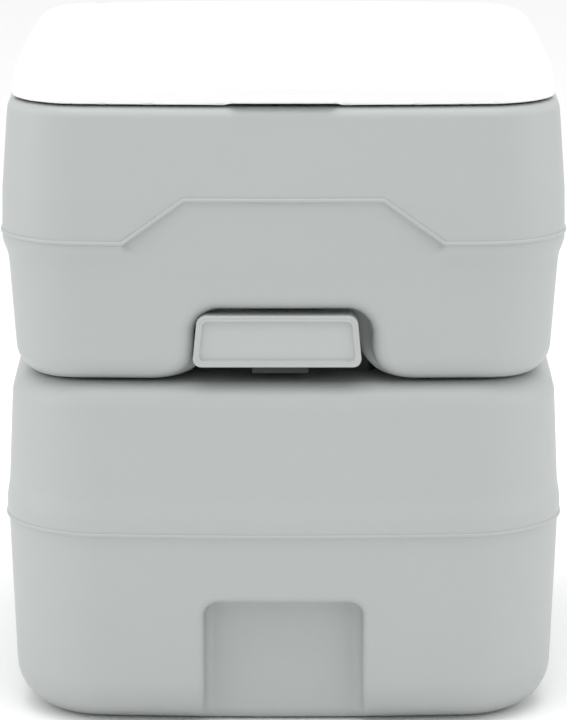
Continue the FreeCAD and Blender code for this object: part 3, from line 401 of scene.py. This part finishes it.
def flush_tank_field(x, y, z):
    """The blow-moulded flush tank with the bowl in it, hollow."""
    mask = panel_mask(x, y, z)
    inset = along(z, UPPER_WALL) * (1 - mask) + along(z, PANEL_WALL) * mask
    wall = outline(x, y, UPPER_PLAN) + inset
    d = round_and(wall, z - DECK, radius=7)
    d = round_and(d, UPPER_BOTTOM - z, radius=18)
    recess = round_and(arch(x, z, **RECESS), y - RECESS_BACK, radius=12)
    d = cut(d, recess, lip=10)
    d = cut(d, rear_bay(x, y, z - BAY_ROOF), lip=4)
    d = cut(d, latch_pocket(x, y, z - POCKET_TOP), lip=2.5)
    d = cut(d, studs(x, y, z, SOCKET_R, UPPER_BOTTOM, edge=1.5), lip=1.5)
    d = cut(d, valve_room(x, y, z), lip=4)
    d = round_or(d, upright_round(x, y, z, (0, DROP_Y), NECK_R, NECK_FOOT, NECK_TOP, edge=0.5), fillet=3)
    d = cut(d, bowl(x, y, z), lip=3)
    d = shell(d, WALL)
    filler = upright_round(x, y, z, (FILL_X, REAR_Y), FILLER_R, DECK - WALL, DECK + FILLER_RISE, edge=0.8)
    d = round_or(d, filler, fillet=1.5)
    d = cut(d, hole_through(x, y, z, (FILL_X, REAR_Y), FILLER_BORE_R, DECK), lip=0.8)
    return cut(d, hole_through(x, y, z, (PUMP_X, REAR_Y), PUMP_BORE_R, DECK), lip=0.5)


def hinge_eyes(x, y, z, inner, outer, arm_from):
    """The two knuckles that turn on the hinge pins, with the arms that hold them."""
    from_pin = np.hypot(y - HINGE_Y, z - HINGE_Z)
    eye = round_and(from_pin - EYE_R, between(np.abs(x), inner, outer), radius=0.8)
    arm = block(np.abs(x), y, z, (inner, arm_from, HINGE_Z - 6), (outer, HINGE_Y, HINGE_Z), radius=0.8)
    return cut(round_or(eye, arm, fillet=0.5), from_pin - PIN_BORE_R, lip=0.3)


def seat_field(x, y, z):
    """The seat: a shell that slopes gently into its oval opening."""
    edge = oval(x, y, SEAT_HOLE_HALF_X, SEAT_HOLE_HALF_Y, BOWL_Y)
    foot = SEAT_TOP - SEAT_HEIGHT
    slope = SEAT_SLOPE * (1 - smooth_step(edge / SEAT_SLOPE_REACH)) ** 2
    rim = outline(x, y, SEAT_PLAN)
    d = round_and(rim + SEAT_DRAFT * (z - foot) / SEAT_HEIGHT, z - SEAT_TOP + slope, radius=5)
    d = round_and(d, -edge, radius=5)
    d = round_and(d, foot - z, radius=0.8)
    pocket = round_and(rim + SEAT_WALL, z - (SEAT_TOP - SEAT_WALL) + slope, radius=2)
    pocket = round_and(pocket, SEAT_HOLE_WALL - edge, radius=2)
    d = cut(d, pocket, lip=0.6)
    return round_or(d, hinge_eyes(x, y, z, **SEAT_EYES), fillet=1)


def lid_tab(x, y, z):
    """The thumb lip at the front of the lid."""
    tab = round_and(np.abs(x) - TAB_HALF - (y - TAB_FLARE_Y) * TAB_FLARE, TAB_FRONT - y, radius=2.5)
    tab = round_and(tab, y - TAB_BACK, radius=0.5)
    return round_and(tab, np.abs(z - LID_FOOT - TAB_MIDDLE) - TAB_HALF_HEIGHT, radius=1.0)


def lid_field(x, y, z):
    """The lid: a crowned shell with a thumb lip at its front and notches for the seat's arms."""
    rim = outline(x, y, LID_PLAN) + LID_DRAFT * (z - LID_FOOT)
    crown = LID_TOP - (x * x + (y - LID_DOME_Y) ** 2) / (2 * LID_DOME_R)
    top = z - crown
    d = round_and(rim, top, radius=LID_EDGE_R)
    d = round_and(d, LID_FOOT - z, radius=0.8)
    d = cut(d, round_and(rim + LID_WALL, top + LID_WALL, radius=LID_EDGE_R - LID_WALL), lip=0.8)
    notch_low = (LID_NOTCH_X[0], LID_NOTCH_Y[0], LID_FOOT - 20)
    notch_high = (LID_NOTCH_X[1], LID_NOTCH_Y[1], HINGE_Z + 2.5)
    d = cut(d, block(np.abs(x), y, z, notch_low, notch_high, radius=1), lip=1)
    d = round_or(d, hinge_eyes(x, y, z, **LID_EYES), fillet=1)
    lift_sides = np.abs(x) - LIFT_HALF + LIFT_SLANT * (z - LID_FOOT)
    lift = round_and(lift_sides, np.abs(y - LIFT_Y) - LIFT_HALF_DEPTH, radius=0.5)
    d = cut(d, np.maximum(lift, z - LID_FOOT - LIFT_HEIGHT), lip=0.5)
    return round_or(d, lid_tab(x, y, z), fillet=2)


def handle_outline(x, z, inset, corner):
    """The pull handle's tapered outline seen from the front."""
    height = HANDLE_TOP - HANDLE_FOOT
    half = HANDLE_HALF_FOOT - HANDLE_TAPER * (z - HANDLE_FOOT) / height
    sides = np.abs(x - HANDLE_X) - half + inset
    ends = between(z, HANDLE_FOOT, HANDLE_TOP) + inset
    return round_and(sides, ends, corner)


def handle_field(x, y, z):
    """The slide valve's pull: a shell with a grooved rim round a sunk panel, and two screw bosses."""
    d = round_and(handle_outline(x, z, inset=0, corner=HANDLE_CORNER), HANDLE_FRONT - y, radius=1.3)
    d = round_and(d, y - HANDLE_BACK, radius=0.4)
    groove_line = handle_outline(x, z, inset=2.3, corner=4.2)
    d = cut(d, np.hypot(groove_line, y - HANDLE_FRONT + GROOVE_OUT) - GROOVE_R, lip=0.4)
    panel = handle_outline(x, z, inset=4.0, corner=3.5)
    d = cut(d, round_and(panel, y - HANDLE_FRONT - PANEL_SUNK, radius=0.6), lip=0.5)
    inside = handle_outline(x, z, inset=2.6, corner=3.6)
    d = cut(d, round_and(inside, HANDLE_FRONT + HANDLE_SKIN - y, radius=1.5), lip=0.4)
    for height in BOSS_HEIGHTS:
        boss = np.hypot(x - HANDLE_X, z - height) - BOSS_R
        length = np.abs(y - (HANDLE_BACK - BOSS_HALF)) - BOSS_HALF
        d = round_or(d, round_and(boss, length, radius=0.3), fillet=1)
    return d


# Meshes from fields

QUAD_AXES = ((0, 1, 2), (1, 2, 0), (2, 0, 1))
CORNERS = [(i, j, k) for i in (0, 1) for j in (0, 1) for k in (0, 1)]
CELL_EDGES = [(a, b) for a in range(8) for b in range(a + 1, 8)
              if sum(abs(p - q) for p, q in zip(CORNERS[a], CORNERS[b])) == 1]
GRID_MARGIN = 2.2
SLOPE_REACH = 0.04
TINY = 1e-9


def sampled(field, low, counts, step):
    """The field on a grid, one level at a time."""
    x = (low[0] + step * np.arange(counts[0]))[:, None]
    y = (low[1] + step * np.arange(counts[1]))[None, :]
    levels = [field(x, y, low[2] + step * k) for k in range(counts[2])]
    return np.stack([np.broadcast_to(v, counts[:2]) for v in levels], axis=2)


def crossed_cells(inside, counts):
    """Which grid cells the surface crosses."""
    total = sum(inside[i:counts[0] - 1 + i, j:counts[1] - 1 + j, k:counts[2] - 1 + k].astype(np.int8)
                for i, j, k in CORNERS)
    return (total > 0) & (total < len(CORNERS))


def cell_points(grid, cells):
    """A point in each cell that the surface crosses: the mean of its crossings."""
    values = [grid[tuple((cells + c).T)] for c in CORNERS]
    total = np.zeros((len(cells), 3))
    hits = np.zeros(len(cells))
    for a, b in CELL_EDGES:
        crosses = (values[a] < 0) != (values[b] < 0)
        gap = np.where(crosses, values[a] - values[b], 1)
        share = np.where(crosses, values[a] / gap, 0)[:, None]
        point = np.array(CORNERS[a]) + share * (np.array(CORNERS[b]) - np.array(CORNERS[a]))
        total += point * crosses[:, None]
        hits += crosses
    return cells + total / hits[:, None]


def surface_quads(inside, index):
    """One quad for each grid edge that the surface crosses, facing outwards."""
    quads = []
    for a, b, c in QUAD_AXES:
        first = [slice(None)] * 3
        first[a], first[b], first[c] = slice(0, -1), slice(1, -1), slice(1, -1)
        second = list(first)
        second[a] = slice(1, None)
        near, far = inside[tuple(first)], inside[tuple(second)]
        at = np.argwhere(near != far)
        leaving = near[tuple(at.T)]
        step_b, step_c = np.eye(3, dtype=int)[b], np.eye(3, dtype=int)[c]
        at = at + step_b + step_c
        ring = [index[tuple((at - back).T)] for back in (step_b + step_c, step_c, 0 * step_b, step_b)]
        quad = np.stack(ring, axis=1)
        quad[~leaving] = quad[~leaving][:, ::-1]
        quads.append(quad)
    return np.concatenate(quads)


def slopes(field, points):
    """The field's value, its unit gradient and the gradient's size at points."""
    x, y, z = points.T
    value = field(x, y, z)
    gradient = np.stack([
        field(x + SLOPE_REACH, y, z) - value,
        field(x, y + SLOPE_REACH, z) - value,
        field(x, y, z + SLOPE_REACH) - value,
    ], axis=1) / SLOPE_REACH
    size = np.linalg.norm(gradient, axis=1, keepdims=True) + TINY
    return value, gradient / size, size


def settled(field, points, limit, rounds):
    """The points moved onto the surface, none further than the limit."""
    start = points.copy()
    for _ in range(rounds):
        value, normal, size = slopes(field, points)
        points = points - np.clip(value[:, None] / size, -limit, limit) * normal
        away = points - start
        far = np.linalg.norm(away, axis=1, keepdims=True)
        points = start + away * np.minimum(1, limit / (far + TINY))
    return points


def positions(mesh):
    """The mesh's points as an array, in metres."""
    flat = np.empty(len(mesh.vertices) * 3, np.float32)
    mesh.vertices.foreach_get("co", flat)
    return flat.reshape(-1, 3).astype(float)


def linked(name, mesh):
    """A new object in the scene that shows the mesh."""
    piece = bpy.data.objects.new(name, mesh)
    bpy.context.scene.collection.objects.link(piece)
    return piece


def meshed(name, field, low, high, step):
    """A quad mesh of a field's zero surface between two corners."""
    low = np.array(low, float) - GRID_MARGIN * step
    counts = [int(math.ceil((h + GRID_MARGIN * step - l) / step)) + 1 for l, h in zip(low, high)]
    grid = sampled(field, low, counts, step)
    inside = grid < 0
    active = crossed_cells(inside, counts)
    cells = np.argwhere(active)
    index = np.full(active.shape, -1)
    index[active] = np.arange(len(cells))
    points = settled(field, low + step * cell_points(grid, cells), limit=0.6 * step, rounds=2)
    mesh = bpy.data.meshes.new(name)
    mesh.from_pydata((points * MM).tolist(), [], surface_quads(inside, index).tolist())
    return mesh


def thin_out(piece, share):
    """Keep that share of a piece's faces, most of them where it is curved."""
    dense, name = piece.data, piece.data.name
    thin = piece.modifiers.new("thin", "DECIMATE")
    thin.ratio = share
    thinned = bpy.data.meshes.new_from_object(piece.evaluated_get(bpy.context.evaluated_depsgraph_get()))
    piece.modifiers.clear()
    piece.data = thinned
    bpy.data.meshes.remove(dense)
    thinned.name = name


def moulded(name, field, low, high, step, share, body):
    """A visible piece on a field's zero surface: meshed, thinned out where it is flat, settled and shaded."""
    piece = linked(name, meshed(name, field, low, high, step))
    thin_out(piece, share)
    mesh = piece.data
    points = settled(field, positions(mesh) / MM, limit=0.3 * step, rounds=1)
    mesh.vertices.foreach_set("co", (points * MM).astype(np.float32).ravel())
    mesh.shade_smooth()
    mesh.normals_split_custom_set_from_vertices(slopes(field, points)[1].tolist())
    mesh.update()
    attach(piece, body)
    return piece


def wall_point(field, angle, height_at):
    """The point on a wall in one direction from the middle, at a height that may depend on x."""
    out = np.array([math.cos(angle), math.sin(angle)])
    near, far, halvings = 120.0, 320.0, 40
    for _ in range(halvings):
        radius = (near + far) / 2
        x, y = out * radius
        if field(x, y, height_at(x, y)) < 0:
            near = radius
        else:
            far = radius
    x, y = out * radius
    return np.array([x, y, height_at(x, y)])


def bead(name, field, height_at, half, rise, body):
    """The half-round line that the mould's parting leaves round a tank, with its back sunk in the wall."""
    around, section, sunk = 900, 12, 0.8
    ring = np.array([wall_point(field, 2 * math.pi * i / around, height_at) for i in range(around)])
    normal = slopes(field, ring)[1]
    tangent = np.roll(ring, -1, axis=0) - np.roll(ring, 1, axis=0)
    tangent /= np.linalg.norm(tangent, axis=1, keepdims=True)
    across = np.cross(normal, tangent)
    across /= np.linalg.norm(across, axis=1, keepdims=True)
    points = []
    for k in range(section):
        turn = 2 * math.pi * k / section
        lift = math.sin(turn) * (rise if math.sin(turn) > 0 else sunk)
        points.append(ring + across * (half * math.cos(turn)) + normal * lift)
    points = np.stack(points, axis=1).reshape(-1, 3)
    quads = []
    for i in range(around):
        for k in range(section):
            here, there = i * section, (i + 1) % around * section
            quads.append((here + k, there + k, there + (k + 1) % section, here + (k + 1) % section))
    mesh = bpy.data.meshes.new(name)
    mesh.from_pydata((points * MM).tolist(), [], quads)
    mesh.shade_smooth()
    piece = linked(name, mesh)
    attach(piece, body)
    return piece


# Finishes: linear colour, roughness, how far the colour varies, and the grain's scale and strength

FINISHES = {
    "grey_tank": {"colour": (0.388, 0.408, 0.403), "roughness": 0.46, "mottle": 0.015, "grain": (700, 0.25),
                  "swell": 0.12},
    # The pull's grey is the tank's grey painted a little lighter, a painted highlight standing in for the
    # light that its rim catches
    "grey_pull": {"colour": (0.415, 0.434, 0.429), "roughness": 0.36, "mottle": 0.01, "grain": (1100, 0.12)},
    "white_shell": {"colour": (0.8, 0.8, 0.795), "roughness": 0.3, "mottle": 0.006, "grain": (500, 0.05),
                    "swell": 0.04},
    "grey_fitting": {"colour": (0.2, 0.215, 0.215), "roughness": 0.42, "mottle": 0.03, "grain": (1100, 0.15)},
    "black_plastic": {"colour": (0.022, 0.022, 0.023), "roughness": 0.45, "mottle": 0.05,
                      "grain": (1200, 0.2)},
    "rubber": {"colour": (0.016, 0.016, 0.016), "roughness": 0.75, "mottle": 0.1, "grain": (1600, 0.35),
               "specular": 0.3},
    "soft_pad": {"colour": (0.62, 0.62, 0.6), "roughness": 0.7, "mottle": 0.03, "grain": (1400, 0.25),
                 "specular": 0.3},
    "steel": {"colour": (0.58, 0.58, 0.57), "roughness": 0.28, "mottle": 0.03, "grain": (1500, 0.12),
              "metal": 1.0},
    "hose": {"colour": (0.4, 0.42, 0.41), "roughness": 0.5, "mottle": 0.04, "grain": (900, 0.2),
             "specular": 0.4},
}
FLOOR_FINISH = {"colour": (0.9, 0.9, 0.9), "roughness": 0.85, "mottle": 0.01, "grain": (60, 0.02)}
GLOSS_SPREAD = 0.05


def surface(name, colour, roughness, mottle, grain, swell=0.0, metal=0.0, specular=0.5):
    """A finish: a colour with slight mottling, uneven gloss, a fine grain and a soft swell."""
    material = bpy.data.materials.new(name)
    material.use_nodes = True
    nodes, links = material.node_tree.nodes, material.node_tree.links
    shader = nodes["Principled BSDF"]
    shader.inputs["Metallic"].default_value = metal
    shader.inputs["Specular IOR Level"].default_value = specular
    place = nodes.new("ShaderNodeTexCoord")

    def noise(scale, detail):
        node = nodes.new("ShaderNodeTexNoise")
        node.inputs["Scale"].default_value = scale
        node.inputs["Detail"].default_value = detail
        links.new(place.outputs["Object"], node.inputs["Vector"])
        return node

    def bump(scale, detail, strength, distance):
        node = nodes.new("ShaderNodeBump")
        node.inputs["Strength"].default_value = strength
        node.inputs["Distance"].default_value = distance
        links.new(noise(scale, detail).outputs["Fac"], node.inputs["Height"])
        return node

    tint = nodes.new("ShaderNodeMix")
    tint.data_type = "RGBA"
    tint.inputs["A"].default_value = [c * (1 - mottle) for c in colour] + [1]
    tint.inputs["B"].default_value = [min(1, c * (1 + mottle)) for c in colour] + [1]
    links.new(noise(scale=9.0, detail=3.0).outputs["Fac"], tint.inputs["Factor"])
    links.new(tint.outputs["Result"], shader.inputs["Base Color"])
    gloss = nodes.new("ShaderNodeMapRange")
    gloss.inputs["To Min"].default_value = roughness - GLOSS_SPREAD
    gloss.inputs["To Max"].default_value = roughness + GLOSS_SPREAD
    links.new(noise(scale=45.0, detail=4.0).outputs["Fac"], gloss.inputs["Value"])
    links.new(gloss.outputs["Result"], shader.inputs["Roughness"])
    fine = bump(scale=grain[0], detail=2.0, strength=grain[1], distance=0.0002)
    if swell:
        soft = bump(scale=14.0, detail=1.0, strength=swell, distance=0.002)
        links.new(soft.outputs["Normal"], fine.inputs["Normal"])
    links.new(fine.outputs["Normal"], shader.inputs["Normal"])
    return material


# Light, floor and camera


def floor():
    """A plain pale floor, much larger than the view."""
    reach = 14.0
    corners = [(-reach, -reach, 0), (reach, -reach, 0), (reach, reach, 0), (-reach, reach, 0)]
    mesh = bpy.data.meshes.new("floor")
    mesh.from_pydata(corners, [], [(0, 1, 2, 3)])
    mesh.materials.append(surface("floor", **FLOOR_FINISH))
    linked("floor", mesh)


def soft_light(name, place, size, watts):
    """A large lamp that looks at the middle of the object."""
    target = Vector((0, 0, 0.25))
    light = bpy.data.lights.new(name, "AREA")
    light.shape = "RECTANGLE"
    light.size, light.size_y = size
    light.energy = watts
    lamp = linked(name, light)
    lamp.location = place
    lamp.rotation_euler = (target - Vector(place)).to_track_quat("-Z", "Y").to_euler()


def studio():
    """White surroundings with one lamp over the front and one on each side."""
    world = bpy.data.worlds.new("studio")
    world.use_nodes = True
    background = world.node_tree.nodes["Background"]
    background.inputs["Color"].default_value = (1, 1, 1, 1)
    background.inputs["Strength"].default_value = 1.0
    bpy.context.scene.world = world
    soft_light("overhead", place=(0, -0.4, 2.2), size=(2.0, 1.6), watts=24)
    soft_light("left", place=(-2.0, -0.3, 0.9), size=(1.2, 1.8), watts=8)
    soft_light("right", place=(2.0, -0.3, 0.9), size=(1.2, 1.8), watts=6)
    bpy.context.scene.view_settings.view_transform = "Standard"


def camera():
    """The photograph's view: from a long way in front, looking down a little."""
    distance, height, pitch = 2.7075, 0.785, 11.89
    lens = bpy.data.cameras.new("camera")
    lens.lens = 202.4
    lens.shift_y = -0.0293
    eye = linked("camera", lens)
    eye.location = (0, -distance, height)
    eye.rotation_euler = (math.radians(90 - pitch), 0, 0)
    bpy.context.scene.camera = eye


# Pieces

# Name, field, the CAD nodes that it stands for, body, slot, and the grid's step in millimetres
SHELLS = [
    ("waste_tank_shell", waste_tank_field, ["waste_tank"], "waste_tank", "grey_tank", 1.8),
    ("flush_tank_shell", flush_tank_field, ["upper_tank", "bowl"], "flush_tank", "grey_tank", 1.8),
    ("seat_shell", seat_field, ["seat"], "seat", "white_shell", 1.5),
    ("lid_shell", lid_field, ["lid"], "lid", "white_shell", 1.5),
    ("handle_shell", handle_field, ["valve_handle"], "valve", "grey_pull", 0.7),
]
KEPT_FACES = 0.25


def shells(looks):
    """The moulded skins that stand for the plain CAD shells."""
    for name, field, nodes, body, slot, step in SHELLS:
        low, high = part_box(nodes[0])
        piece = moulded(name, field, low / MM, high / MM, step, KEPT_FACES, body)
        piece.data.materials.append(looks[slot])
        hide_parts(*nodes)


def waste_seam(x, y):
    """Height of the waste tank's parting line, which is level."""
    return LOWER_SEAM


def flush_seam(x, y):
    """Height of the flush tank's parting line, which steps up on the front."""
    climb = np.clip((PANEL_HALF_FOOT - abs(x)) / (PANEL_HALF_FOOT - PANEL_HALF_TOP), 0, 1)
    return UPPER_SEAM + (PANEL_TOP - UPPER_SEAM) * (climb if y < 0 else 0)


def parting_lines(looks):
    """The bead round each tank."""
    half = 1.4
    lines = [
        bead("waste_tank_parting_line", waste_wall, waste_seam, half, 0.9, "waste_tank"),
        bead("flush_tank_parting_line", flush_wall, flush_seam, half, 1.0, "flush_tank"),
    ]
    for line in lines:
        line.data.materials.append(looks["grey_tank"])


def dress_frame(looks):
    """Every CAD node gets the finish of its slot."""
    for part in frame["record"]["subparts"]:
        mesh = frame["nodes"][part["node"]].data
        mesh.materials.clear()
        mesh.materials.append(looks[part["material_slot"]])


looks = {slot: surface(slot, **finish) for slot, finish in FINISHES.items()}
dress_frame(looks)
shells(looks)
parting_lines(looks)
floor()
studio()
camera()
